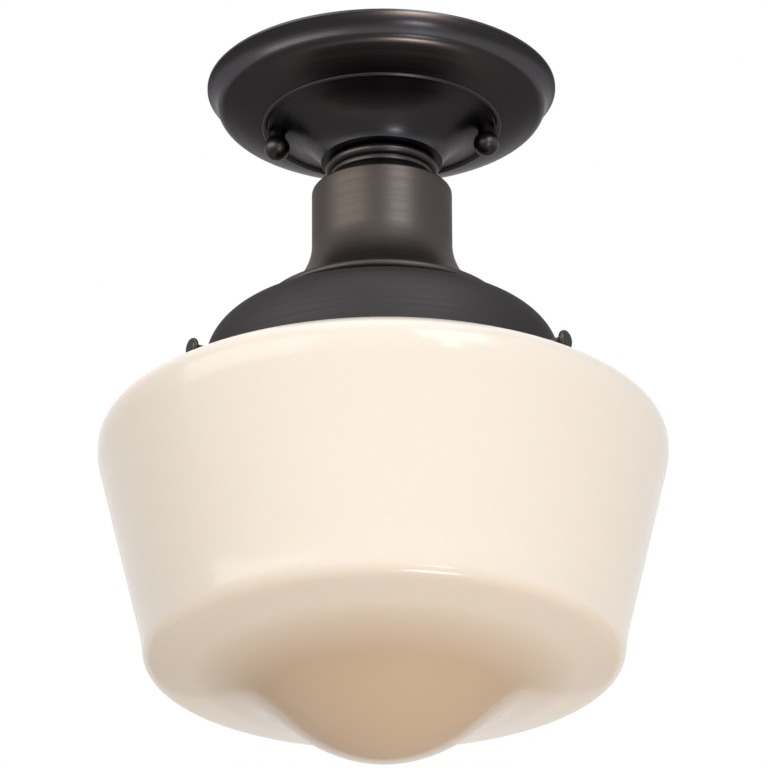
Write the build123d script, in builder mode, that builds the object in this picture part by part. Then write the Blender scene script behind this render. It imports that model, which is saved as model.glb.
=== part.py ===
"""Semi-flush ceiling light: a spun bronze canopy, neck and fitter above an opal glass shade.

Millimetres, +Z up. The origin is the centre of the canopy's rim on the ceiling plane, so every
piece hangs below z = 0. The two ball nuts lie on the X axis, and one thumbscrew points to +Y.
"""

from build123d import *

import os
from math import cos, radians, sin

os.makedirs("parts", exist_ok=True)

# Spun sheet
CANOPY_R = 63.5  # a 5 in canopy, the dimension that sets the scale
CANOPY_SHEET = 1.2
NECK_SHEET = 1.2
HOLDER_SHEET = 1.0

# Heights of the stack on the centre line, from the ceiling down
LAND_Z = -13.0  # flat ring of the canopy that the ball nuts press on
BOSS_Z = -32.5  # end of the canopy's trumpet
NECK_Z = -42.2  # top of the neck
BEAD_Z = -88.6  # where the neck's flare meets its rolled bead
HOLDER_Z = -92.4  # top of the shade holder
SKIRT_Z = -124.0  # bottom edge of the shade holder
LIP_Z = -108.5  # top of the glass
FOOT_Z = -261.0  # lowest point of the glass

# Canopy fixing: 8-32 studs at 3 in centres
STUD_SPACING = 76.2
STUD_R = 2.0
STUD_END_Z = -22.0
BALL_R = 4.65
BALL_Z = -23.3
BRACKET_T = 2.0
BOX_SPACING = 79.4  # slots take ceiling boxes with 70 to 89 mm between screws
GROUND_Y = 20.0
SLOT_W = 5.0
SLOT_L = 16.0

# Centre line hardware: 1/8 IP threaded pipe
NIPPLE_R = 4.9
NIPPLE_BORE_R = 3.3
NIPPLE_TOP_Z = -26.5
NIPPLE_END_Z = -52.0
PIPE_NUT_FLATS = 14.0
PIPE_NUT_T = 3.0
PIPE_WASHER_T = 0.8

# Lampholder for an E26 lamp
LAMP_R = 13.2
SHELL_T = 0.4
PORCELAIN_R = 19.0
PORCELAIN_TOP_Z = -56.5
PORCELAIN_END_Z = -93.0
SEAT_Z = -65.6  # floor of the porcelain's cup
SHELL_STEP_Z = -70.0  # the shell is narrower above this, round the centre contact
SHELL_END_Z = -88.5
STRAP_T = 1.2
STRAP_HALF = 18.0
STRAP_SCREW_X = 14.5
TERMINAL_Y = 12.0

# Neck and shade holder
NECK_R = 25.4
HOLDER_R = 64.0
OPENING_R = 34.0  # opening through the neck's flange and the holder's top
RIVET_PITCH_R = 37.2
RIVET_ANGLES = (30, 150, 270)

# Thumbscrews: 6-32, three round the skirt, gripping the glass under its lip
SCREW_ANGLES = (90, 210, 330)
SCREW_Z = -120.0
SCREW_R = 1.75
SCREW_TIP_R = 57.8
SCREW_HEAD_R = 3.7
SCREW_HEAD_AT = (74.8, 77.2)
INSERT_BORE_R = 1.80
INSERT_R = 2.6
INSERT_SPAN = (62.3, 67.3)
INSERT_FLANGE_R = 3.5

# Glass
GLASS_T = 3.0
THROAT_R = 57.5
LIP_R = 61.5
SHADE_R = 101.6  # an 8 in shade


def inside(curve, wall, steps=8):
    """Points one wall's thickness to the right of a curve, measured square to it."""
    points = []
    for step in range(steps + 1):
        at = curve @ (step / steps)
        along = curve % (step / steps)
        points.append((at.X + wall * along.Y, at.Y - wall * along.X))
    return points


def radial_plane(angle, z):
    """A plane that holds the Z axis direction and points its X along a spoke of the light."""
    a = radians(angle)
    return Plane(origin=(0, 0, z), x_dir=(cos(a), sin(a), 0), z_dir=(sin(a), -cos(a), 0))


# ---------------------------------------------------------------- ceiling side

with BuildPart() as mounting_bracket:
    with BuildSketch(Plane.XY.offset(-BRACKET_T)):
        RectangleRounded(92, 15, 4)
        RectangleRounded(17, 108, 4)
    extrude(amount=BRACKET_T)
    fillet(mounting_bracket.edges().filter_by(Axis.Z).group_by(SortBy.DISTANCE)[0], 4)
    # the tapped holes are drawn down into collars, for more thread than the sheet has
    with BuildSketch(Plane.XY.offset(-BRACKET_T)):
        with GridLocations(STUD_SPACING, 0, 2, 1):
            Circle(3.4)
    extrude(amount=-1.2)
    with GridLocations(STUD_SPACING, 0, 2, 1):
        Hole(STUD_R)
    with Locations((0, GROUND_Y)):
        Hole(2.4)
    Hole(8.0)
    with BuildSketch(Plane.XY.offset(-BRACKET_T)):
        with GridLocations(0, BOX_SPACING, 1, 2):
            SlotCenterToCenter(SLOT_L - SLOT_W, SLOT_W, rotation=90)
    extrude(amount=BRACKET_T, mode=Mode.SUBTRACT)
mounting_bracket.part.label = "mounting_bracket"
export_step(mounting_bracket.part, "parts/mounting_bracket.step")

with BuildPart() as ground_screw:
    with BuildSketch(Plane.XY.offset(-BRACKET_T)):
        with Locations((0, GROUND_Y)):
            Circle(2.4)
    extrude(amount=BRACKET_T)
    with BuildSketch(Plane.XY.offset(-BRACKET_T)):
        with Locations((0, GROUND_Y)):
            Circle(4.8)
    extrude(amount=-1.0)
    with BuildSketch(Plane.XY.offset(-BRACKET_T - 1.0)):
        with Locations((0, GROUND_Y)):
            RegularPolygon(4.0, 6, major_radius=False)
    extrude(amount=-2.6)
    chamfer(ground_screw.edges().group_by(Axis.Z)[0], 0.4)
ground_screw.part.label = "ground_screw"
export_step(ground_screw.part, "parts/ground_screw.step")

with BuildPart() as canopy_studs:
    with BuildSketch():
        with GridLocations(STUD_SPACING, 0, 2, 1):
            Circle(STUD_R)
    extrude(amount=STUD_END_Z)
    chamfer(canopy_studs.edges().group_by(Axis.Z)[0], 0.5)
canopy_studs.part.label = "canopy_studs"
export_step(canopy_studs.part, "parts/canopy_studs.step")

with BuildPart() as stud_lock_nuts:
    with BuildSketch(Plane.XY.offset(-BRACKET_T - 1.2)):
        with GridLocations(STUD_SPACING, 0, 2, 1):
            RegularPolygon(4.35, 6, major_radius=False)
            Circle(STUD_R, mode=Mode.SUBTRACT)
    extrude(amount=-3.2)
stud_lock_nuts.part.label = "stud_lock_nuts"
export_step(stud_lock_nuts.part, "parts/stud_lock_nuts.step")

# ---------------------------------------------------------------- canopy

with BuildPart() as canopy:
    with BuildSketch(Plane.XZ):
        with BuildLine():
            rim = Line((CANOPY_R, 0), (CANOPY_R, -1.0))
            cove = ThreePointArc(rim @ 1, (60.9, -4.2), (59.8, -7.4))
            torus = Spline(
                cove @ 1, (58.4, -9.8), (55.0, -11.7), (50.5, -13.5), (46.4, -14.8), (44.0, -15.3),
                (42.2, -14.8), (41.3, LAND_Z),
                tangents=[cove % 1, (-0.3, 1)],
            )
            land = Line(torus @ 1, (35.0, LAND_Z))
            trumpet = Spline(
                land @ 1, (32.4, -15.6), (29.5, -19.2), (26.5, -24.9), (24.7, -29.8), (24.0, BOSS_Z),
                tangents=[(-0.8, -0.6), (-0.12, -1)],
            )
            boss = Polyline(trumpet @ 1, (NIPPLE_R, BOSS_Z), (NIPPLE_R, BOSS_Z + CANOPY_SHEET))
            in_trumpet = Spline(
                *inside(trumpet, CANOPY_SHEET)[:-1], (24.0 - CANOPY_SHEET, BOSS_Z + CANOPY_SHEET)
            )
            in_boss = Line(boss @ 1, in_trumpet @ 1)
            in_torus = Spline(*inside(torus, CANOPY_SHEET))
            in_land = Polyline(in_torus @ 1, (41.8, LAND_Z + CANOPY_SHEET), in_trumpet @ 0)
            in_cove = Spline((CANOPY_R - 1.6, 0), *inside(cove, CANOPY_SHEET)[2:])
            edge = Line(in_cove @ 0, rim @ 0)
        make_face()
    revolve(axis=Axis.Z)
    with GridLocations(STUD_SPACING, 0, 2, 1):
        Hole(STUD_R + 0.4)
canopy.part.label = "canopy"
export_step(canopy.part, "parts/canopy.step")

with BuildPart() as ball_nut:
    with BuildSketch(Plane.XZ):
        with BuildLine():
            seat = Line((STUD_R + 0.05, LAND_Z), (3.0, LAND_Z))
            stem = Line(seat @ 1, (3.0, BALL_Z + 4.2))
            waist = ThreePointArc(
                stem @ 1, (3.15, BALL_Z + 3.75), (3.4, BALL_Z + (BALL_R**2 - 3.4**2) ** 0.5)
            )
            ball = ThreePointArc(waist @ 1, (BALL_R, BALL_Z), (0, BALL_Z - BALL_R))
            bore = Polyline(ball @ 1, (0, BALL_Z - 2.4), (STUD_R + 0.05, BALL_Z - 2.0), seat @ 0)
        make_face()
    revolve(axis=Axis.Z)
for number, side in enumerate((1, -1), 1):
    nut = ball_nut.part.moved(Location((side * STUD_SPACING / 2, 0, 0)))
    nut.label = f"ball_nut_{number}"
    export_step(nut, f"parts/{nut.label}.step")

# ---------------------------------------------------------------- centre line hardware

with BuildPart() as threaded_nipple:
    with BuildSketch(Plane.XY.offset(NIPPLE_END_Z)):
        Circle(NIPPLE_R)
    extrude(amount=NIPPLE_TOP_Z - NIPPLE_END_Z)
    chamfer(threaded_nipple.edges(), 0.5)
    Hole(NIPPLE_BORE_R)
threaded_nipple.part.label = "threaded_nipple"
export_step(threaded_nipple.part, "parts/threaded_nipple.step")


def pipe_nut(name, z):
    """A hexagonal nut on the nipple, z is its upper face."""
    with BuildPart() as nut:
        with BuildSketch(Plane.XY.offset(z - PIPE_NUT_T)):
            RegularPolygon(PIPE_NUT_FLATS / 2, 6, major_radius=False)
            Circle(NIPPLE_R, mode=Mode.SUBTRACT)
        extrude(amount=PIPE_NUT_T)
    nut.part.label = name
    export_step(nut.part, f"parts/{name}.step")


def tooth_washer(name, z):
    """An external-tooth lock washer on the nipple, z is its upper face."""
    with BuildPart() as washer:
        with BuildSketch(Plane.XY.offset(z - PIPE_WASHER_T)):
            Circle(7.2)
            with PolarLocations(7.6, 12):
                Rectangle(2.4, 1.8)
            Circle(NIPPLE_R, mode=Mode.SUBTRACT)
        extrude(amount=PIPE_WASHER_T)
    washer.part.label = name
    export_step(washer.part, f"parts/{name}.step")


canopy_inner_z = BOSS_Z + CANOPY_SHEET
tooth_washer("canopy_lock_washer", canopy_inner_z + PIPE_WASHER_T)
pipe_nut("canopy_lock_nut", canopy_inner_z + PIPE_WASHER_T + PIPE_NUT_T)
neck_inner_z = NECK_Z - NECK_SHEET
tooth_washer("neck_lock_washer", neck_inner_z)
pipe_nut("neck_lock_nut", neck_inner_z - PIPE_WASHER_T)
strap_z = neck_inner_z - PIPE_WASHER_T - PIPE_NUT_T
pipe_nut("strap_lock_nut", strap_z - STRAP_T)

with BuildPart() as neck_collar:
    with BuildSketch(Plane.XZ):
        with BuildLine():
            top = Line((NIPPLE_R, BOSS_Z), (19.3, BOSS_Z))
            bead = ThreePointArc(top @ 1, (20.0, -33.9), (19.2, -35.4))
            cove = Spline(
                bead @ 1, (19.9, -38.3), (21.9, -40.6), (23.9, NECK_Z), tangents=[(0, -1), (1, -0.8)]
            )
            under = Polyline(
                cove @ 1, (19.0, NECK_Z), (16.5, -38.5), (16.0, -34.7), (NIPPLE_R, -34.7), top @ 0
            )
        make_face()
    revolve(axis=Axis.Z)
neck_collar.part.label = "neck_collar"
export_step(neck_collar.part, "parts/neck_collar.step")

# ---------------------------------------------------------------- neck and shade holder

with BuildPart() as neck:
    with BuildSketch(Plane.XZ):
        with BuildLine():
            top = Line((NIPPLE_R, NECK_Z), (NECK_R - NECK_SHEET, NECK_Z))
            edge = ThreePointArc(top @ 1, (NECK_R - 0.35, NECK_Z - 0.35), (NECK_R, NECK_Z - NECK_SHEET))
            tube = Line(edge @ 1, (NECK_R, -64.0))
            flare = Spline(
                tube @ 1, (26.0, -69.0), (27.8, -74.4), (30.4, -79.0), (34.0, -83.3), (38.0, -86.6),
                (41.4, BEAD_Z),
                tangents=[(0, -1), (1, -0.5)],
            )
            bead = Spline(
                flare @ 1, (43.6, -89.3), (44.3, -90.7), (43.7, -91.9), (42.4, HOLDER_Z),
                tangents=[(1, -0.1), (-1, -0.1)],
            )
            flange = Polyline(bead @ 1, (OPENING_R, HOLDER_Z), (OPENING_R, HOLDER_Z + NECK_SHEET))
            in_flare = Spline(*inside(flare, NECK_SHEET))
            in_flange = Polyline(flange @ 1, ((in_flare @ 1).X, HOLDER_Z + NECK_SHEET), in_flare @ 1)
            in_tube = Polyline(
                in_flare @ 0, (NECK_R - NECK_SHEET, neck_inner_z), (NIPPLE_R, neck_inner_z), top @ 0
            )
        make_face()
    revolve(axis=Axis.Z)
    with PolarLocations(RIVET_PITCH_R, 3, start_angle=RIVET_ANGLES[0]):
        with Locations((0, 0, HOLDER_Z)):
            Cylinder(1.6, 4, mode=Mode.SUBTRACT)
neck.part.label = "neck"
export_step(neck.part, "parts/neck.step")

with BuildPart() as shade_holder:
    with BuildSketch(Plane.XZ):
        with BuildLine():
            top = Line((OPENING_R, HOLDER_Z), (42.0, HOLDER_Z))
            dome = Spline(
                top @ 1, (48.0, -94.6), (53.3, -96.9), (57.0, -98.9), (60.0, -101.5), (62.2, -104.7),
                (63.5, -108.4), (HOLDER_R, -113.0),
                tangents=[(1, -0.3), (0, -1)],
            )
            skirt = Polyline(dome @ 1, (HOLDER_R, SKIRT_Z), (HOLDER_R - HOLDER_SHEET, SKIRT_Z))
            in_dome = Spline(*inside(dome, HOLDER_SHEET))
            in_skirt = Line(skirt @ 1, in_dome @ 1)
            in_top = Polyline(
                in_dome @ 0, (41.7, HOLDER_Z - HOLDER_SHEET), (OPENING_R, HOLDER_Z - HOLDER_SHEET), top @ 0
            )
        make_face()
    revolve(axis=Axis.Z)
    with PolarLocations(RIVET_PITCH_R, 3, start_angle=RIVET_ANGLES[0]):
        with Locations((0, 0, HOLDER_Z)):
            Cylinder(1.6, 4, mode=Mode.SUBTRACT)
    for angle in SCREW_ANGLES:
        with BuildSketch(Plane(origin=(0, 0, SCREW_Z), x_dir=(0, 0, 1), z_dir=radial_plane(angle, 0).x_dir)):
            Circle(INSERT_R)
        extrude(amount=HOLDER_R + 5, mode=Mode.SUBTRACT)
shade_holder.part.label = "shade_holder"
export_step(shade_holder.part, "parts/shade_holder.step")

with BuildPart() as holder_rivets:
    with BuildSketch(Plane.XZ):
        with BuildLine():
            Polyline(
                (RIVET_PITCH_R, HOLDER_Z + NECK_SHEET + 0.9),
                (RIVET_PITCH_R + 1.6, HOLDER_Z + NECK_SHEET + 0.9),
                (RIVET_PITCH_R + 2.5, HOLDER_Z + NECK_SHEET),
                (RIVET_PITCH_R + 1.6, HOLDER_Z + NECK_SHEET),
                (RIVET_PITCH_R + 1.6, HOLDER_Z - HOLDER_SHEET),
                (RIVET_PITCH_R + 3.0, HOLDER_Z - HOLDER_SHEET),
                (RIVET_PITCH_R + 2.0, HOLDER_Z - HOLDER_SHEET - 1.3),
                (RIVET_PITCH_R, HOLDER_Z - HOLDER_SHEET - 1.3),
                close=True,
            )
        make_face()
    revolve(axis=Axis((RIVET_PITCH_R, 0, 0), (0, 0, 1)))
rivet_set = Compound(
    children=[holder_rivets.part.solid().rotate(Axis.Z, angle) for angle in RIVET_ANGLES]
)
rivet_set.label = "holder_rivets"
export_step(rivet_set, "parts/holder_rivets.step")

with BuildPart() as insert:
    with BuildSketch(Plane.YZ.offset(HOLDER_R - 1)):
        with Locations((0, SCREW_Z)):
            Circle(INSERT_FLANGE_R)
    extrude(amount=2.2)
    Cylinder(HOLDER_R, 300, mode=Mode.SUBTRACT)
    with BuildSketch(Plane.YZ.offset(INSERT_SPAN[0])):
        with Locations((0, SCREW_Z)):
            Circle(INSERT_R)
    extrude(amount=INSERT_SPAN[1] - INSERT_SPAN[0])
    with BuildSketch(Plane.YZ.offset(INSERT_SPAN[0])):
        with Locations((0, SCREW_Z)):
            Circle(INSERT_BORE_R)
    extrude(amount=INSERT_SPAN[1] - INSERT_SPAN[0], mode=Mode.SUBTRACT)
insert_set = Compound(children=[insert.part.solid().rotate(Axis.Z, angle) for angle in SCREW_ANGLES])
insert_set.label = "threaded_inserts"
export_step(insert_set, "parts/threaded_inserts.step")

for number, angle in enumerate(SCREW_ANGLES, 1):
    with BuildPart() as thumbscrew:
        with BuildSketch(radial_plane(angle, SCREW_Z)):
            with BuildLine():
                shank = Polyline(
                    (SCREW_TIP_R, 0), (SCREW_TIP_R, 1.2), (SCREW_TIP_R + 0.6, SCREW_R), (73.4, SCREW_R)
                )
                neck_fillet = ThreePointArc(shank @ 1, (74.3, 2.1), (SCREW_HEAD_AT[0], 2.7))
                back = ThreePointArc(neck_fillet @ 1, (75.15, 3.35), (75.9, SCREW_HEAD_R))
                face = ThreePointArc(back @ 1, (76.9, 3.2), (SCREW_HEAD_AT[1], 2.2))
                close_up = Polyline(face @ 1, (SCREW_HEAD_AT[1], 0), shank @ 0)
            make_face()
        revolve(axis=Axis((0, 0, SCREW_Z), radial_plane(angle, 0).x_dir))
    thumbscrew.part.label = f"thumbscrew_{number}"
    export_step(thumbscrew.part, f"parts/thumbscrew_{number}.step")

# ---------------------------------------------------------------- lampholder

with BuildPart() as lampholder_strap:
    with BuildSketch(Plane.XZ):
        with BuildLine():
            half = Polyline(
                (0, strap_z), (9.8, strap_z), (10.8, strap_z - 1.0), (10.8, PORCELAIN_TOP_Z + STRAP_T),
                (STRAP_HALF, PORCELAIN_TOP_Z + STRAP_T), (STRAP_HALF, PORCELAIN_TOP_Z),
                (9.6, PORCELAIN_TOP_Z), (9.6, strap_z - STRAP_T), (0, strap_z - STRAP_T), close=True,
            )
        make_face()
        mirror(about=Plane.YZ)
    extrude(amount=6.0, both=True)
    with Locations((0, 0, strap_z)):
        Cylinder(NIPPLE_R, 4 * STRAP_T, mode=Mode.SUBTRACT)
    with Locations((0, 0, PORCELAIN_TOP_Z)):
        with GridLocations(2 * STRAP_SCREW_X, 0, 2, 1):
            Cylinder(1.75, 4 * STRAP_T, mode=Mode.SUBTRACT)
lampholder_strap.part.label = "lampholder_strap"
export_step(lampholder_strap.part, "parts/lampholder_strap.step")

with BuildPart() as lampholder_body:
    with BuildSketch(Plane.XZ):
        with BuildLine():
            roof = Line((0, PORCELAIN_TOP_Z), (PORCELAIN_R - 0.8, PORCELAIN_TOP_Z))
            shoulder = ThreePointArc(
                roof @ 1, (PORCELAIN_R - 0.24, PORCELAIN_TOP_Z - 0.24), (PORCELAIN_R, PORCELAIN_TOP_Z - 0.8)
            )
            barrel = Polyline(
                shoulder @ 1, (PORCELAIN_R, -70.0), (PORCELAIN_R - 1.2, -72.0),
                (PORCELAIN_R - 1.2, PORCELAIN_END_Z + 1.5),
            )
            lip = ThreePointArc(
                barrel @ 1, (PORCELAIN_R - 1.64, PORCELAIN_END_Z + 0.44), (PORCELAIN_R - 2.7, PORCELAIN_END_Z)
            )
            cup = Polyline(
                lip @ 1, (LAMP_R + 1.4, PORCELAIN_END_Z), (LAMP_R + 1.4, SHELL_END_Z),
                (LAMP_R + SHELL_T, SHELL_END_Z), (LAMP_R + SHELL_T, SEAT_Z), (0, SEAT_Z), roof @ 0,
            )
        make_face()
    revolve(axis=Axis.Z)
    with Locations((0, 0, PORCELAIN_TOP_Z)):
        with GridLocations(2 * STRAP_SCREW_X, 0, 2, 1):
            Cylinder(1.75, 12, mode=Mode.SUBTRACT)
        with GridLocations(0, 2 * TERMINAL_Y, 1, 2):
            Cylinder(1.75, 12, mode=Mode.SUBTRACT)
lampholder_body.part.label = "lampholder_body"
export_step(lampholder_body.part, "parts/lampholder_body.step")

with BuildPart() as screw_shell:
    with BuildSketch(Plane.XZ):
        with BuildLine():
            Polyline(
                (6.0, SEAT_Z), (11.6, SEAT_Z), (11.6, SHELL_STEP_Z + SHELL_T),
                (LAMP_R + SHELL_T, SHELL_STEP_Z + SHELL_T), (LAMP_R + SHELL_T, SHELL_END_Z),
                (LAMP_R, SHELL_END_Z), (LAMP_R, SHELL_STEP_Z), (11.2, SHELL_STEP_Z),
                (11.2, SEAT_Z - SHELL_T), (6.0, SEAT_Z - SHELL_T), close=True,
            )
        make_face()
    revolve(axis=Axis.Z)
screw_shell.part.label = "screw_shell"
export_step(screw_shell.part, "parts/screw_shell.step")

with BuildPart() as centre_contact:
    with BuildSketch(Plane.YZ):
        with BuildLine():
            Polyline(
                (-4.2, SEAT_Z), (4.2, SEAT_Z), (4.2, SEAT_Z - 0.5), (-1.6, SEAT_Z - 0.5),
                (-0.6, SEAT_Z - 3.4), (2.6, SEAT_Z - 3.4), (2.6, SEAT_Z - 3.9), (-1.0, SEAT_Z - 3.9),
                (-2.2, SEAT_Z - 0.5), (-4.2, SEAT_Z - 0.5), close=True,
            )
        make_face()
    extrude(amount=2.2, both=True)
centre_contact.part.label = "centre_contact"
export_step(centre_contact.part, "parts/centre_contact.step")


def pan_head_screws(name, head_z, length, spacing_x, spacing_y):
    """A pair of small pan head screws, head_z is the face under their heads."""
    with BuildPart() as screws:
        with BuildSketch(Plane.XY.offset(head_z)):
            with GridLocations(spacing_x, spacing_y, 2 if spacing_x else 1, 2 if spacing_y else 1):
                Circle(1.75)
        extrude(amount=-length)
        with BuildSketch(Plane.XY.offset(head_z)):
            with GridLocations(spacing_x, spacing_y, 2 if spacing_x else 1, 2 if spacing_y else 1):
                Circle(3.2)
        extrude(amount=2.0)
        fillet(screws.edges().group_by(Axis.Z)[-1], 0.8)
    screws.part.label = name
    export_step(screws.part, f"parts/{name}.step")


pan_head_screws("strap_screws", PORCELAIN_TOP_Z + STRAP_T, STRAP_T + 6, 2 * STRAP_SCREW_X, 0)
pan_head_screws("terminal_screws", PORCELAIN_TOP_Z, 6, 0, 2 * TERMINAL_Y)

# ---------------------------------------------------------------- glass

with BuildPart() as glass_shade:
    with BuildSketch(Plane.XZ):
        with BuildLine():
            lip = Line((LIP_R - 3.0, LIP_Z), (LIP_R - 0.8, LIP_Z))
            lip_edge = ThreePointArc(lip @ 1, (LIP_R - 0.2, LIP_Z - 0.3), (LIP_R, LIP_Z - 1.0))
            groove = Polyline(lip_edge @ 1, (LIP_R, -110.7), (THROAT_R, -117.4), (THROAT_R, -123.4))
            root = ThreePointArc(groove @ 1, (THROAT_R + 0.3, -124.1), (THROAT_R + 1.0, -124.45))
            shoulder = Spline(
                root @ 1, (72.0, -127.1), (89.3, -133.2), (95.8, -136.4), (99.4, -139.0), (101.1, -141.8),
                (SHADE_R, -145.2), (101.4, -148.8), (100.3, -154.0),
                tangents=[(1, -0.08), (-0.23, -1)],
            )
            side = Line(shoulder @ 1, (87.8, -206.8))
            foot = ThreePointArc(side @ 1, (85.7, -216.9), (85.0, -222.2))
            corner = TangentArc(foot @ 1, (81.0, -226.9), tangent=foot % 1)
            belly = Spline(
                corner @ 1, (63.0, -231.2), (50.0, -235.5), (39.0, -243.3), (28.4, -251.5), (15.0, -258.2),
                (0, FOOT_Z),
                tangents=[corner % 1, (-1, 0)],
            )
            nib = Line(belly @ 1, (0, FOOT_Z + GLASS_T))
            in_belly = Spline(*inside(belly, GLASS_T, 12)[:-1], nib @ 1)
            in_corner = ThreePointArc(*inside(corner, GLASS_T, 2))
            in_foot = ThreePointArc(*inside(foot, GLASS_T, 2))
            in_shoulder = Spline(*inside(shoulder, GLASS_T, 10)[1:])
            in_side = Line(in_shoulder @ 1, in_foot @ 0)
            in_throat = Polyline(
                in_shoulder @ 0, (THROAT_R - GLASS_T + 0.6, -126.9), (THROAT_R - GLASS_T, -125.6),
                (THROAT_R - GLASS_T, -117.0), (LIP_R - 3.6, -111.2), lip @ 0,
            )
        make_face()
    revolve(axis=Axis.Z)
glass_shade.part.label = "glass_shade"
export_step(glass_shade.part, "parts/glass_shade.step")
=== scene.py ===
# %% [markdown]
# # A semi-flush ceiling light, dressed in Blender
# The light is a stack of turned forms: a spun canopy against the ceiling, a collar, a flared neck,
# a domed shade holder, and a shade of opal glass gripped by three thumbscrews. The frame holds
# every piece at its real place, so this script only gives the pieces their finest surface and
# their finish, and builds a small studio round them.

# %% Load the frame
from math import atan2, cos, hypot, pi, radians, sin

import bpy
import numpy as np
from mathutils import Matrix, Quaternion, Vector


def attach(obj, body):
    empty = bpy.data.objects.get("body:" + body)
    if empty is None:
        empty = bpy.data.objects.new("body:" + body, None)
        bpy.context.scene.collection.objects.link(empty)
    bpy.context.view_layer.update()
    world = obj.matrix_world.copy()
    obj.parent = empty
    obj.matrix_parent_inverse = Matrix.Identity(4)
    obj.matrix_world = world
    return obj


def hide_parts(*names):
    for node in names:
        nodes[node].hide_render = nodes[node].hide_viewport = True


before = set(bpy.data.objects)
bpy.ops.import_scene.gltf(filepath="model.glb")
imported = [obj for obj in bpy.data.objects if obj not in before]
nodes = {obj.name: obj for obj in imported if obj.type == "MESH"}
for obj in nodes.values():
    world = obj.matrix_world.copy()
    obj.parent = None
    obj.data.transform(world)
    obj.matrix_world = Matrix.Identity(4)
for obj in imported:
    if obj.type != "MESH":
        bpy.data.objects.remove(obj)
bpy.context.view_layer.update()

# %% [markdown]
# ## Drawing an outline
# A turned piece is known by its half outline: how far from the axis, and how high, in millimetres.
# A few points are enough where the form is straight. Where it is curved, a smooth line runs
# through the points the way a bent strip of wood runs past its pins on a drawing board. The strip
# bends as evenly as it can, so the slope and the bend both run on without a jump, and so will the
# highlights on the finished piece.

# %% Outlines in millimetres
MM = 0.001


def spline(pins, start, end, steps=5):
    """A smooth line through the pins that leaves along start and arrives along end."""
    pins = np.array(pins, float)
    gaps = np.linalg.norm(np.diff(pins, axis=0), axis=1)
    slopes = np.diff(pins, axis=0) / gaps[:, None]
    system, right = np.eye(len(pins)), np.zeros_like(pins)
    right[0], right[-1] = np.array(start) / np.hypot(*start), np.array(end) / np.hypot(*end)
    for i in range(1, len(pins) - 1):
        system[i, i - 1 : i + 2] = gaps[i], 2 * (gaps[i - 1] + gaps[i]), gaps[i - 1]
        right[i] = 3 * (gaps[i] * slopes[i - 1] + gaps[i - 1] * slopes[i])
    directions = np.linalg.solve(system, right)
    drawn = []
    for i, gap in enumerate(gaps):
        for t in np.arange(steps) / steps:
            drawn.append(
                (2 * t**3 - 3 * t**2 + 1) * pins[i] + (3 * t**2 - 2 * t**3) * pins[i + 1]
                + gap * ((t**3 - 2 * t**2 + t) * directions[i] + (t**3 - t**2) * directions[i + 1])
            )
    drawn.append(pins[-1])
    return [(float(r), float(z)) for r, z in drawn]


def through(first, middle, last, steps=6):
    """The circular arc from first to last that passes through middle."""
    (ax, ay), (bx, by), (cx, cy) = first, middle, last
    a2, b2, c2 = ax**2 + ay**2, bx**2 + by**2, cx**2 + cy**2
    d = 2 * (ax * (by - cy) + bx * (cy - ay) + cx * (ay - by))
    ux = (a2 * (by - cy) + b2 * (cy - ay) + c2 * (ay - by)) / d
    uy = (a2 * (cx - bx) + b2 * (ax - cx) + c2 * (bx - ax)) / d
    turn = [atan2(y - uy, x - ux) for x, y in (first, middle, last)]
    sweep = (turn[2] - turn[0]) % (2 * pi)
    if (turn[1] - turn[0]) % (2 * pi) > sweep:
        sweep -= 2 * pi
    reach = hypot(ax - ux, ay - uy)
    angles = [turn[0] + sweep * step / steps for step in range(steps + 1)]
    return [(ux + reach * cos(a), uy + reach * sin(a)) for a in angles]


def arc(centre, radius, start, end, steps=6):
    """Part of a circle, from one angle to another, in degrees from the outward direction."""
    turn = [radians(start + (end - start) * step / steps) for step in range(steps + 1)]
    return [(centre[0] + radius * cos(a), centre[1] + radius * sin(a)) for a in turn]


def between(first, last, parts):
    """The points that cut a straight line into equal parts, without its ends."""
    (r, z), (end_r, end_z) = first, last
    return [(r + (end_r - r) * i / parts, z + (end_z - z) * i / parts) for i in range(1, parts)]


def inner(outline, wall):
    """The same outline one wall's thickness further in, drawn back towards its start."""
    line = [Vector(point) for point in outline]
    moved = []
    for before, here, after in zip([line[0]] + line[:-1], line, line[1:] + [line[-1]]):
        along = (after - before).normalized()
        moved.append((here.x + wall * along.y, here.y - wall * along.x))
    return moved[::-1]


# %% [markdown]
# ## Turning a piece
# A spinner presses a disc of metal over a turning form, and a glass mould is a turned form too. In
# Blender the outline is walked with one vertex that is extruded from point to point, and the spin
# operator sweeps it round the axis. Doubles on the seam and on the axis are merged, and the
# normals are made to point outwards. Only an edge steeper than CREASE stays crisp.

# %% The lathe
WELD = 0.004 * MM
CREASE = radians(28)


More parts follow.
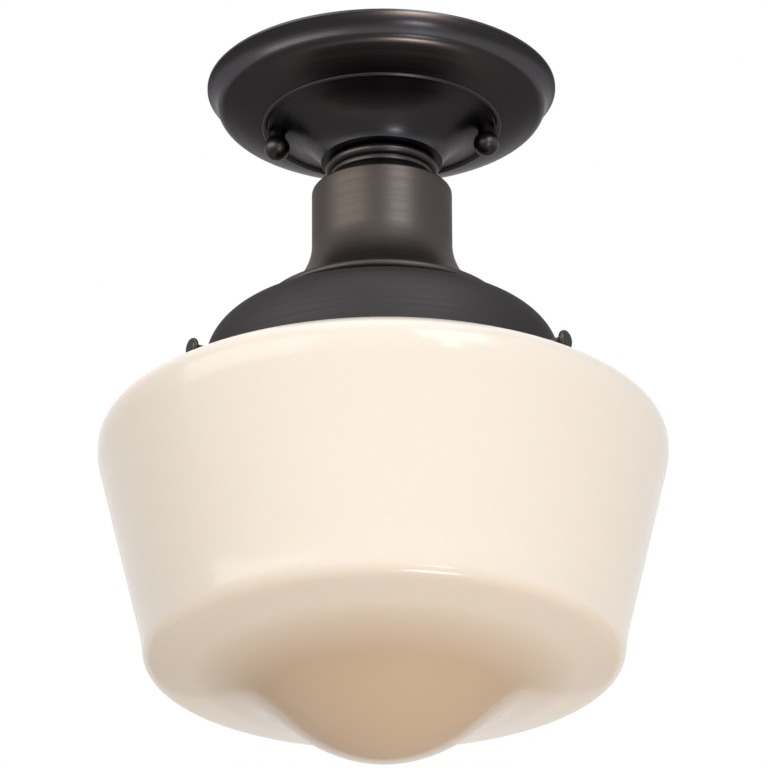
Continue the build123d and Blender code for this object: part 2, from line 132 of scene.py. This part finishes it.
def turned(name, outline, steps=144, closed=True, axis=(0, 0, 1), centre=(0, 0, 0), across=(1, 0, 0)):
    """Spins a half outline, in mm, into a piece. across is the direction that its radius grows."""
    bpy.ops.object.select_all(action="DESELECT")
    bpy.ops.mesh.primitive_plane_add(size=MM)
    piece = bpy.context.object
    piece.name = name
    bpy.ops.object.mode_set(mode="EDIT")
    bpy.ops.mesh.merge(type="CENTER")
    along, out, start = Vector(axis), Vector(across), Vector(centre)
    places = [start + (out * r + along * h) * MM for r, h in outline]
    if closed:
        places.append(places[0])
    bpy.ops.transform.translate(value=places[0])
    for here, there in zip(places, places[1:]):
        bpy.ops.mesh.extrude_vertices_move(TRANSFORM_OT_translate={"value": there - here})
    bpy.ops.mesh.select_all(action="SELECT")
    bpy.ops.mesh.spin(steps=steps, angle=2 * pi, center=centre, axis=axis)
    bpy.ops.mesh.select_all(action="SELECT")
    bpy.ops.mesh.remove_doubles(threshold=WELD)
    bpy.ops.mesh.normals_make_consistent(inside=False)
    bpy.ops.object.mode_set(mode="OBJECT")
    bpy.ops.object.shade_smooth_by_angle(angle=CREASE)
    print(name, len(piece.data.polygons), "faces")
    return piece


def settle(piece, body, node, finish):
    """Gives a finished piece its material and its body, and hides the CAD node that it stands for."""
    piece.data.materials.clear()
    piece.data.materials.append(finish)
    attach(piece, body)
    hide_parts(node)


# %% [markdown]
# ## Node helpers
# Every finish is a small graph round one Principled shader, so a few helpers keep the cells short:
# one adds a node, one sets its dials, one does a sum, and the others make a noise, a range, a
# blend of two colours or a bump. All patterns are read from the place on the object itself.

# %% Node helpers
def finish(name):
    material = bpy.data.materials.new(name)
    material.use_nodes = True
    tree = material.node_tree
    return material, tree, tree.nodes["Principled BSDF"]


def node(tree, kind, **values):
    made = tree.nodes.new(kind)
    for key, value in values.items():
        setattr(made, key, value)
    return made


def dial(made, values):
    for socket, value in values.items():
        made.inputs[socket].default_value = value


def arithmetic(tree, operation, first, second):
    """A math node on two sockets. The second may also be a number."""
    made = node(tree, "ShaderNodeMath", operation=operation)
    tree.links.new(first, made.inputs[0])
    if isinstance(second, float):
        made.inputs[1].default_value = second
    else:
        tree.links.new(second, made.inputs[1])
    return made.outputs[0]


def noise(tree, where, scale, detail=3.0):
    made = node(tree, "ShaderNodeTexNoise")
    dial(made, {"Scale": scale, "Detail": detail, "Roughness": 0.55})
    tree.links.new(where, made.inputs["Vector"])
    return made.outputs["Fac"]


def ramp(tree, fac, low, high, from_low=0.3, from_high=0.7):
    """Maps values between from_low and from_high to values between low and high."""
    made = node(tree, "ShaderNodeMapRange")
    dial(made, {"From Min": from_low, "From Max": from_high, "To Min": low, "To Max": high})
    tree.links.new(fac, made.inputs["Value"])
    return made.outputs["Result"]


def colours(tree, fac, dark, light):
    made = node(tree, "ShaderNodeMix", data_type="RGBA")
    dial(made, {"A": (*dark, 1), "B": (*light, 1)})
    tree.links.new(fac, made.inputs["Factor"])
    return made.outputs["Result"]


def bump(tree, height, shader, distance):
    made = node(tree, "ShaderNodeBump")
    dial(made, {"Strength": 1.0, "Distance": distance})
    tree.links.new(height, made.inputs["Height"])
    tree.links.new(made.outputs["Normal"], shader.inputs["Normal"])


# %% [markdown]
# ## Places on a turned piece
# A tool that presses on turning metal draws rings, so the streaks are read from the distance to
# the axis and the height, and hardly at all from the angle.

# %% Coordinates
MM_PER_RADIAN = 0.15


def object_coordinates(tree):
    return node(tree, "ShaderNodeTexCoord").outputs["Object"]


def split_up(tree, where):
    split = node(tree, "ShaderNodeSeparateXYZ")
    tree.links.new(where, split.inputs[0])
    return split.outputs


def from_axis(tree, split):
    """The distance to the upright axis, for coordinates that are split up."""
    flat = node(tree, "ShaderNodeCombineXYZ")
    for side in "XY":
        tree.links.new(split[side], flat.inputs[side])
    length = node(tree, "ShaderNodeVectorMath", operation="LENGTH")
    tree.links.new(flat.outputs[0], length.inputs[0])
    return length.outputs["Value"]


def ring_coordinates(tree, where):
    """Distance to the axis, height, and a little of the angle, for marks that run round a piece."""
    split = split_up(tree, where)
    angle = arithmetic(tree, "ARCTAN2", split["Y"], split["X"])
    rings = node(tree, "ShaderNodeCombineXYZ")
    tree.links.new(from_axis(tree, split), rings.inputs["X"])
    tree.links.new(arithmetic(tree, "MULTIPLY", angle, MM_PER_RADIAN * MM), rings.inputs["Y"])
    tree.links.new(split["Z"], rings.inputs["Z"])
    return rings.outputs[0]


# %% [markdown]
# ## The bronze
# The metal is steel with a dark bronze finish under a satin lacquer. Its colour is nearly black,
# and what the eye reads as bronze is the brown in the highlights. The spun canopy is the smoothest,
# the shade holder is dull, and the brushed neck is lighter and browner, with closer marks. The
# tint keeps the lacquer from going white where it is seen along its surface.

# %% Bronze finishes
EDGE_TINT = (0.62, 0.60, 0.61, 1)


def bronze(name, dark, light, rough, ring_height, ring_scale=1400):
    """A dark metal between two colours, with rings of ring_height mm."""
    material, tree, shader = finish(name)
    where = object_coordinates(tree)
    streaks = noise(tree, ring_coordinates(tree, where), ring_scale, detail=4)
    clouds = noise(tree, where, 45, detail=2)
    dial(shader, {"Metallic": 1.0, "Specular Tint": EDGE_TINT})
    tree.links.new(colours(tree, clouds, dark, light), shader.inputs["Base Color"])
    tree.links.new(ramp(tree, streaks, rough - 0.05, rough + 0.06), shader.inputs["Roughness"])
    bump(tree, streaks, shader, ring_height * MM)
    return material


spun_bronze = bronze("spun_bronze", (0.058, 0.056, 0.062), (0.065, 0.062, 0.068), 0.31, 0.003)
satin_bronze = bronze("satin_bronze", (0.049, 0.045, 0.048), (0.054, 0.050, 0.053), 0.62, 0.002)
brushed_bronze = bronze("brushed_bronze", (0.070, 0.061, 0.057), (0.080, 0.069, 0.064), 0.43, 0.005, 2200)
turned_bronze = bronze("turned_bronze", (0.056, 0.051, 0.052), (0.066, 0.060, 0.060), 0.34, 0.002)

# %% [markdown]
# ## The hidden metals and the porcelain
# Zinc plate is grey with faint cloudy patches, brass is polished by the press, and the lampholder's
# porcelain is glazed: a white body under a clear, hard coat.

# %% Plated metals
def plated(name, dark, light, rough):
    """A plated metal between two colours, whose patches are also rougher or smoother."""
    material, tree, shader = finish(name)
    where = object_coordinates(tree)
    patches = noise(tree, where, 160, detail=5)
    grain = noise(tree, where, 2600, detail=2)
    dial(shader, {"Metallic": 1.0})
    tree.links.new(colours(tree, patches, dark, light), shader.inputs["Base Color"])
    tree.links.new(ramp(tree, patches, rough - 0.06, rough + 0.08), shader.inputs["Roughness"])
    bump(tree, grain, shader, 0.004 * MM)
    return material


zinc = plated("zinc_plate", (0.42, 0.43, 0.45), (0.62, 0.63, 0.64), 0.34)
brass = plated("pressed_brass", (0.52, 0.36, 0.14), (0.74, 0.56, 0.27), 0.24)
ground_green = plated("green_passivated", (0.03, 0.16, 0.06), (0.06, 0.27, 0.11), 0.38)


# %% Glazed porcelain
def glazed():
    material, tree, shader = finish("glazed_porcelain")
    where = object_coordinates(tree)
    body = colours(tree, noise(tree, where, 90), (0.80, 0.78, 0.73), (0.88, 0.87, 0.84))
    tree.links.new(body, shader.inputs["Base Color"])
    dial(shader, {"Roughness": 0.42, "Coat Weight": 1.0, "Coat Roughness": 0.06})
    bump(tree, noise(tree, where, 260), shader, 0.02 * MM)
    return material


porcelain = glazed()

# %% [markdown]
# ## The opal glass
# Opal glass is a milky body under a fire-polished skin. Light goes a few millimetres in, and the
# red end of it goes furthest, which subsurface scattering does. The underside carries painted
# shade: low down and towards the nib in the middle, the cream is painted deeper, to tan. A thin
# coat gives the wet highlight.

# %% Opal glass
SIDE_CREAMS = (0.815, 0.755, 0.695), (0.83, 0.775, 0.715)
# The tan of the painted shade on the underside, darkest near the nib.
PAINTED_SHADE_TAN = (0.575, 0.46, 0.35, 1)
# In metres: the heights, and the distances to the axis, between which the painted shade deepens the cream to
# tan.
TAN_BELOW, CREAM_ABOVE = -0.228, -0.214
TAN_WITHIN, CREAM_BEYOND = 0.044, 0.068


def opal_glass():
    material, tree, shader = finish("opal_glass")
    where = object_coordinates(tree)
    split = split_up(tree, where)
    low_down = ramp(tree, split["Z"], 1, 0, TAN_BELOW, CREAM_ABOVE)
    near_axis = ramp(tree, from_axis(tree, split), 1, 0.08, TAN_WITHIN, CREAM_BEYOND)
    # Painted shade: low down and near the axis, the cream is mixed towards tan.
    painted_shade_mix = node(tree, "ShaderNodeMix", data_type="RGBA")
    tree.links.new(arithmetic(tree, "MULTIPLY", low_down, near_axis), painted_shade_mix.inputs["Factor"])
    tree.links.new(colours(tree, noise(tree, where, 14, detail=2), *SIDE_CREAMS), painted_shade_mix.inputs["A"])
    dial(painted_shade_mix, {"B": PAINTED_SHADE_TAN})
    tree.links.new(painted_shade_mix.outputs["Result"], shader.inputs["Base Color"])
    dial(shader, {"Roughness": 0.25, "Specular IOR Level": 0.15, "Coat Weight": 0.35, "Coat Roughness": 0.09})
    dial(shader, {"Subsurface Weight": 0.35, "Subsurface Radius": (1.0, 0.62, 0.34)})
    dial(shader, {"Subsurface Scale": 6 * MM})
    bump(tree, noise(tree, where, 22, detail=1), shader, 0.10 * MM)
    return material


opal = opal_glass()

# %% [markdown]
# ## The canopy
# The canopy is one spun disc: a small rim, a cove, a wide rounded torus that a fine ridge ends,
# and a bell that comes down to the boss, where the collar closes it. The wall is drawn back inside
# the outer line, so the dish has its real thickness when it is seen from above.

# %% Canopy
SHEET = 1.2
BOSS, BOSS_R, PIPE = -32.5, 17.0, 4.9
COVE_FOOT, TORUS_FOOT, BELL_TOP = (59.8, -7.4), (43.6, -15.5), (41.6, -15.7)

cove = through((63.5, -1.0), (60.9, -4.2), COVE_FOOT, steps=8)
torus = spline(
    [COVE_FOOT, (58.8, -9.3), (56.0, -11.1), (51.8, -13.0), (47.4, -14.5), TORUS_FOOT],
    start=(-0.25, -0.97), end=(-1, -0.2),
)
ridge = through(TORUS_FOOT, (42.6, -16.5), BELL_TOP)
bell = spline(
    [BELL_TOP, (37.8, -16.5), (33.8, -18.0), (30.0, -20.3), (26.2, -23.6), (23.6, -26.9), (22.2, -29.8)],
    start=(-1, -0.05), end=(-0.3, -1),
)
outside = (
    [(63.3, 0), (63.5, -0.2)]
    + cove
    + torus[1:]
    + ridge[1:]
    + bell[1:]
    + [(22.1, -30.1), (21.7, -30.3), (BOSS_R, -30.9), (BOSS_R, BOSS), (PIPE, BOSS)]
)
# The inner line leaves out the points where it would fold over itself.
inside = (
    [(PIPE, BOSS + SHEET), (BOSS_R - SHEET, BOSS + SHEET), (BOSS_R - SHEET, -29.8), (20.9, -29.2)]
    + inner(bell, SHEET)[2:-1]
    + inner(torus, SHEET)[1:]
    + inner(cove, SHEET)[1:-4]
    + [(61.9, 0)]
)
canopy = turned("spun_canopy", outside + inside, steps=160)
settle(canopy, "fixture", "canopy", spun_bronze)

# %% [markdown]
# ## Collar, neck and shade holder
# Below the boss come a turned collar with a round bead and a waist, the neck that flares into a
# rolled bead, and the shade holder: a dome that drops into a straight skirt.

# %% Collar
NECK_TOP = -42.2
COLLAR_TOP, BEAD_FOOT = (18.0, -31.2), (18.7, -35.6)

collar_bead = through(COLLAR_TOP, (20.5, -33.3), BEAD_FOOT, steps=12)
waist = spline(
    [BEAD_FOOT, (18.4, -36.9), (19.6, -38.6), (22.0, -40.8), (23.9, NECK_TOP)],
    start=(-0.5, -1), end=(1, -0.8),
)
recess = [(PIPE, BOSS), (BOSS_R, BOSS), (BOSS_R, -31.2)]
collar_inside = [(19.0, NECK_TOP), (16.5, -38.5), (16.0, -34.7), (PIPE, -34.7)]
collar = turned("turned_collar", recess + collar_bead + waist[1:] + collar_inside)
settle(collar, "fixture", "neck_collar", turned_bronze)

# %% Neck
NECK_R, HOLDER_TOP = 25.4, -92.4
EDGE_R = 1.2
FLARE_FOOT, FLANGE_R = (41.4, -88.6), 34.0

top_edge = arc((NECK_R - EDGE_R, NECK_TOP - EDGE_R), EDGE_R, 90, 0)
tube = [(PIPE, NECK_TOP)] + top_edge + [(NECK_R, z) for z in range(-46, -63, -4)]
flare = spline(
    [(NECK_R, -64.0), (26.0, -69.0), (27.8, -74.4), (30.4, -79.0), (34.0, -83.3), (38.0, -86.6), FLARE_FOOT],
    start=(0, -1), end=(1, -0.5),
)
neck_bead = spline(
    [FLARE_FOOT, (43.6, -89.3), (44.3, -90.7), (43.7, -91.9), (42.4, HOLDER_TOP)],
    start=(1, -0.1), end=(-1, -0.1),
)
flange = [(FLANGE_R, HOLDER_TOP), (FLANGE_R, HOLDER_TOP + SHEET), (40.0, HOLDER_TOP + SHEET)]
neck_inside = inner(flare, SHEET) + [(NECK_R - SHEET, NECK_TOP - SHEET), (PIPE, NECK_TOP - SHEET)]
neck = turned("flared_neck", tube + flare + neck_bead[1:] + flange + neck_inside)
settle(neck, "fixture", "neck", brushed_bronze)

# %% Shade holder
SKIRT, HOLDER_R = -124.0, 64.0
HOLDER_SHEET, HEM = 1.0, 0.3

dome = spline(
    [(42.0, HOLDER_TOP), (48.0, -94.6), (53.3, -96.9), (57.0, -98.9), (60.0, -101.5), (62.2, -104.7),
     (63.5, -108.4), (HOLDER_R, -113.0)],
    start=(1, -0.3), end=(0, -1),
)
skirt = [(HOLDER_R, z) for z in (-116.0, -120.0, SKIRT + HEM)]
hem = [(HOLDER_R - 0.2, SKIRT), (HOLDER_R - 0.8, SKIRT), (HOLDER_R - HOLDER_SHEET, SKIRT + HEM)]
top_inside = [(42.0, HOLDER_TOP - HOLDER_SHEET), (FLANGE_R, HOLDER_TOP - HOLDER_SHEET)]
holder = turned(
    "shade_holder_dome",
    [(FLANGE_R, HOLDER_TOP)] + dome + skirt + hem + inner(dome, HOLDER_SHEET)[:-2] + top_inside,
    steps=160,
)
settle(holder, "fixture", "shade_holder", satin_bronze)

# %% [markdown]
# ## Ball nuts and thumbscrews
# The ball nuts are turned from bar: a short stem and a polished ball, bored for the stud. The
# thumbscrews have a threaded shank and a small round head that fingers can turn.

# %% Ball nuts
# The stem starts at the face of the CAD canopy, which is a little above the bell.
STEM_TOP, STEM_R, BORE_R = -13.0, 3.0, 2.05
BALL_R, BALL_Z, BALL_OUT = 4.65, -23.3, 38.1

stem = [
    (BORE_R, STEM_TOP), (2.8, STEM_TOP), (STEM_R, STEM_TOP - 0.2),
    (STEM_R, BALL_Z + 4.2), (3.15, BALL_Z + 3.75),
]
ball = arc((0, BALL_Z), BALL_R, 43, -90, steps=20)[:-1] + [(0, BALL_Z - BALL_R)]
bore = [(0, BALL_Z - 2.4), (BORE_R, BALL_Z - 2.0)]
for number, side, body in ((1, BALL_OUT, "nut_right"), (2, -BALL_OUT, "nut_left")):
    nut = turned(f"ball_nut_piece_{number}", stem + ball + bore, steps=48)
    bpy.ops.transform.translate(value=(side * MM, 0, 0))
    bpy.ops.object.transform_apply(location=True, rotation=True, scale=True)
    settle(nut, body, f"ball_nut_{number}", turned_bronze)

# %% Thumbscrews
SCREW_Z = -120
# Along the screw, from the axis of the light.
TIP, THREAD_START, HEAD_START, HEAD_END = 57.8, 58.9, 74.2, 77.2
SHANK_R, THREAD_ROOT, HEAD_R = 1.75, 1.48, 3.7
PITCH, TURNS = 0.8, 19

shank = [(0, TIP), (1.2, TIP), (SHANK_R, TIP + 0.6)]
for turn in range(TURNS):
    at = THREAD_START + PITCH * turn
    shank += [(SHANK_R, at), (THREAD_ROOT, at + PITCH * 0.45), (SHANK_R, at + PITCH * 0.9)]
head = (
    [(SHANK_R, HEAD_START)]
    + through((2.7, 74.8), (3.35, 75.15), (HEAD_R, 75.9), steps=5)
    + through((HEAD_R, 75.9), (3.2, 76.9), (2.2, HEAD_END))[1:]
    + [(1.0, HEAD_END), (0, HEAD_END)]
)
for number, (angle, body) in enumerate(((90, "screw_back"), (210, "screw_left"), (330, "screw_right")), 1):
    spoke = Vector((cos(radians(angle)), sin(radians(angle)), 0))
    screw = turned(
        f"thumbscrew_piece_{number}", shank + head, steps=40, closed=False,
        axis=spoke, centre=(0, 0, SCREW_Z * MM), across=(0, 0, 1),
    )
    settle(screw, body, f"thumbscrew_{number}", turned_bronze)

# %% [markdown]
# ## The shade
# The shade is blown in a mould: a collar with a lip for the screws, a sloping shoulder, a round
# turn into the tapering side, a rounded foot where the side has grown steeper, and an underside
# that comes down to a nib in the middle.

# %% Shade
GLASS, NIB = 3.0, -261.0
SIDE_TOP, SIDE_FOOT = (100.3, -154.0), (87.8, -206.8)
CORNER, BELLY_RIM = (85.0, -222.2), (81.0, -226.9)

lip = [(58.5, -108.5)] + through((60.7, -108.5), (61.3, -108.8), (61.5, -109.5), steps=4)
grip = [(61.5, -110.7), (59.5, -114.05), (57.5, -117.4), (57.5, -120.4), (57.5, -123.4), (57.8, -124.1)]
shoulder = spline(
    [(58.5, -124.45), (72.0, -127.1), (89.3, -133.2), (95.8, -136.4), (99.4, -139.0), (101.1, -141.8),
     (101.6, -145.2), (101.4, -148.8), SIDE_TOP],
    start=(1, -0.08), end=(-0.23, -1),
)
side = between(SIDE_TOP, SIDE_FOOT, 8)
foot = through(SIDE_FOOT, (85.7, -216.9), CORNER) + through(CORNER, (83.7, -225.2), BELLY_RIM)[1:]
belly = spline(
    [BELLY_RIM, (63.0, -231.2), (50.0, -235.5), (39.0, -243.3), (28.4, -251.5), (15.0, -258.2), (0, NIB)],
    start=(-0.968, -0.252), end=(-1, 0),
)
bowl = shoulder + side + foot + belly[1:]
collar_wall = [(55.1, -126.9), (54.5, -125.6), (54.5, -117.0), (57.9, -111.2)]
shade = turned(
    "opal_shade", lip + grip + bowl + [(0, NIB + GLASS)] + inner(bowl, GLASS)[1:-1] + collar_wall, steps=176
)
settle(shade, "shade", "glass_shade", opal)

# %% [markdown]
# ## The hardware that stays as it is
# Bracket, studs, nuts, washers and the lampholder keep their CAD shape, because it is the real
# one. Each gets the finish of its metal.

# %% Hardware
hardware = {
    zinc: (
        "mounting_bracket", "canopy_studs", "stud_lock_nuts", "threaded_nipple", "canopy_lock_washer",
        "canopy_lock_nut", "neck_lock_washer", "neck_lock_nut", "lampholder_strap", "strap_lock_nut",
        "strap_screws", "holder_rivets",
    ),
    brass: ("terminal_screws", "screw_shell", "centre_contact"),
    ground_green: ("ground_screw",),
    porcelain: ("lampholder_body",),
    turned_bronze: ("threaded_inserts",),
}
for material, names in hardware.items():
    for name in names:
        nodes[name].data.materials.clear()
        nodes[name].data.materials.append(material)

# %% [markdown]
# ## The studio
# The background is pure white, so the world is white to the camera, in reflections and through
# clear things, and gentler and warmer as a light. The floor is a sheet 30 m wide that lies 3.2 m
# below the ceiling, out of the picture.

# %% Floor
FLOOR_SIDE, FLOOR_Z = 30, -3.2

bpy.ops.object.select_all(action="DESELECT")
bpy.ops.mesh.primitive_plane_add(size=FLOOR_SIDE, location=(0, 0, FLOOR_Z))
floor = bpy.context.object
floor.name = "studio_floor"
paper, tree, shader = finish("pale_floor")
pale = colours(tree, noise(tree, object_coordinates(tree), 6), (0.78, 0.78, 0.77), (0.82, 0.82, 0.81))
tree.links.new(pale, shader.inputs["Base Color"])
dial(shader, {"Roughness": 0.9})
floor.data.materials.append(paper)

# %% World
world = bpy.data.worlds.new("studio")
bpy.context.scene.world = world
world.use_nodes = True
tree = world.node_tree
gentle = tree.nodes["Background"]
dial(gentle, {"Color": (1.0, 0.94, 0.87, 1), "Strength": 0.44})
white = node(tree, "ShaderNodeBackground")
dial(white, {"Color": (1, 1, 1, 1), "Strength": 1.0})
rays = node(tree, "ShaderNodeLightPath").outputs
seen = arithmetic(tree, "MAXIMUM", rays["Is Camera Ray"], rays["Is Glossy Ray"])
seen = arithmetic(tree, "MAXIMUM", seen, rays["Is Transmission Ray"])
choose = node(tree, "ShaderNodeMixShader")
tree.links.new(seen, choose.inputs["Fac"])
tree.links.new(gentle.outputs[0], choose.inputs[1])
tree.links.new(white.outputs[0], choose.inputs[2])
tree.links.new(choose.outputs[0], tree.nodes["World Output"].inputs["Surface"])

# %% [markdown]
# ## The lamps
# All lamps are rectangles aimed at the middle of the light. The key draws the bright band on the
# neck, and a wide warm one opens up the left side. One from above lights the holder's dome and the
# glass's shoulder. A warm one from below is the glow that a floor throws back, on the underside and
# in the canopy's streaks. Two small ones in front give the glint on the canopy's bell and the
# reflection on the glass's shoulder.

# %% Lamps
MIDDLE = Vector((0, 0, -0.12))


def softbox(name, azimuth, elevation, distance, size, power, colour):
    """A rectangular lamp, in degrees, metres and watts. Azimuth 0 is the front, + to its right."""
    a, e = radians(azimuth), radians(elevation)
    place = MIDDLE + distance * Vector((sin(a) * cos(e), -cos(a) * cos(e), sin(e)))
    data = bpy.data.lights.new(name, "AREA")
    data.shape = "RECTANGLE"
    data.size, data.size_y = size
    data.energy = power
    data.color = colour
    lamp = bpy.data.objects.new(name, data)
    bpy.context.collection.objects.link(lamp)
    lamp.location = place
    lamp.rotation_euler = (MIDDLE - place).to_track_quat("-Z", "Y").to_euler()


softbox("key_softbox", 31, 30, 1.6, (0.75, 0.6), 8, (0.97, 0.98, 1.0))
softbox("left_fill", -52, 18, 1.8, (1.9, 0.9), 17, (1.0, 0.93, 0.85))
softbox("top_light", 5, 75, 1.6, (1.2, 1.2), 6, (1.0, 1.0, 1.0))
softbox("floor_glow", 36, -62, 1.6, (0.45, 0.22), 11, (1.0, 0.82, 0.66))
softbox("low_front", 27, -24, 1.6, (0.35, 0.2), 3.0, (0.97, 0.98, 1.0))
softbox("window_card", 28, 13, 1.6, (0.17, 0.32), 1.6, (1.0, 1.0, 1.0))

# %% [markdown]
# ## The camera
# The ellipses of the rim and of the shade give the height of the eye: 1.09 m below the ceiling
# and 2.15 m in front, a little to the right, through a very long lens.

# %% Camera
FRAME_PX, FOCAL_PX = 768, 6594
EYE_BACK, EYE_DOWN, EYE_TURN, EYE_ROLL = 2.150, 1.090, radians(2.2), radians(-0.3)
AIM = Vector((0.0004, 0, -0.1183))

camera_data = bpy.data.cameras.new("photo_camera")
camera = bpy.data.objects.new("photo_camera", camera_data)
bpy.context.collection.objects.link(camera)
bpy.context.scene.camera = camera
camera_data.sensor_width = 36
camera_data.lens = camera_data.sensor_width * FOCAL_PX / FRAME_PX
camera.location = (EYE_BACK * sin(EYE_TURN), -EYE_BACK * cos(EYE_TURN), -EYE_DOWN)
roll = Quaternion((0, 0, 1), EYE_ROLL)
camera.rotation_mode = "QUATERNION"
camera.rotation_quaternion = (AIM - camera.location).to_track_quat("-Z", "Y") @ roll

bpy.context.scene.view_settings.view_transform = "Standard"
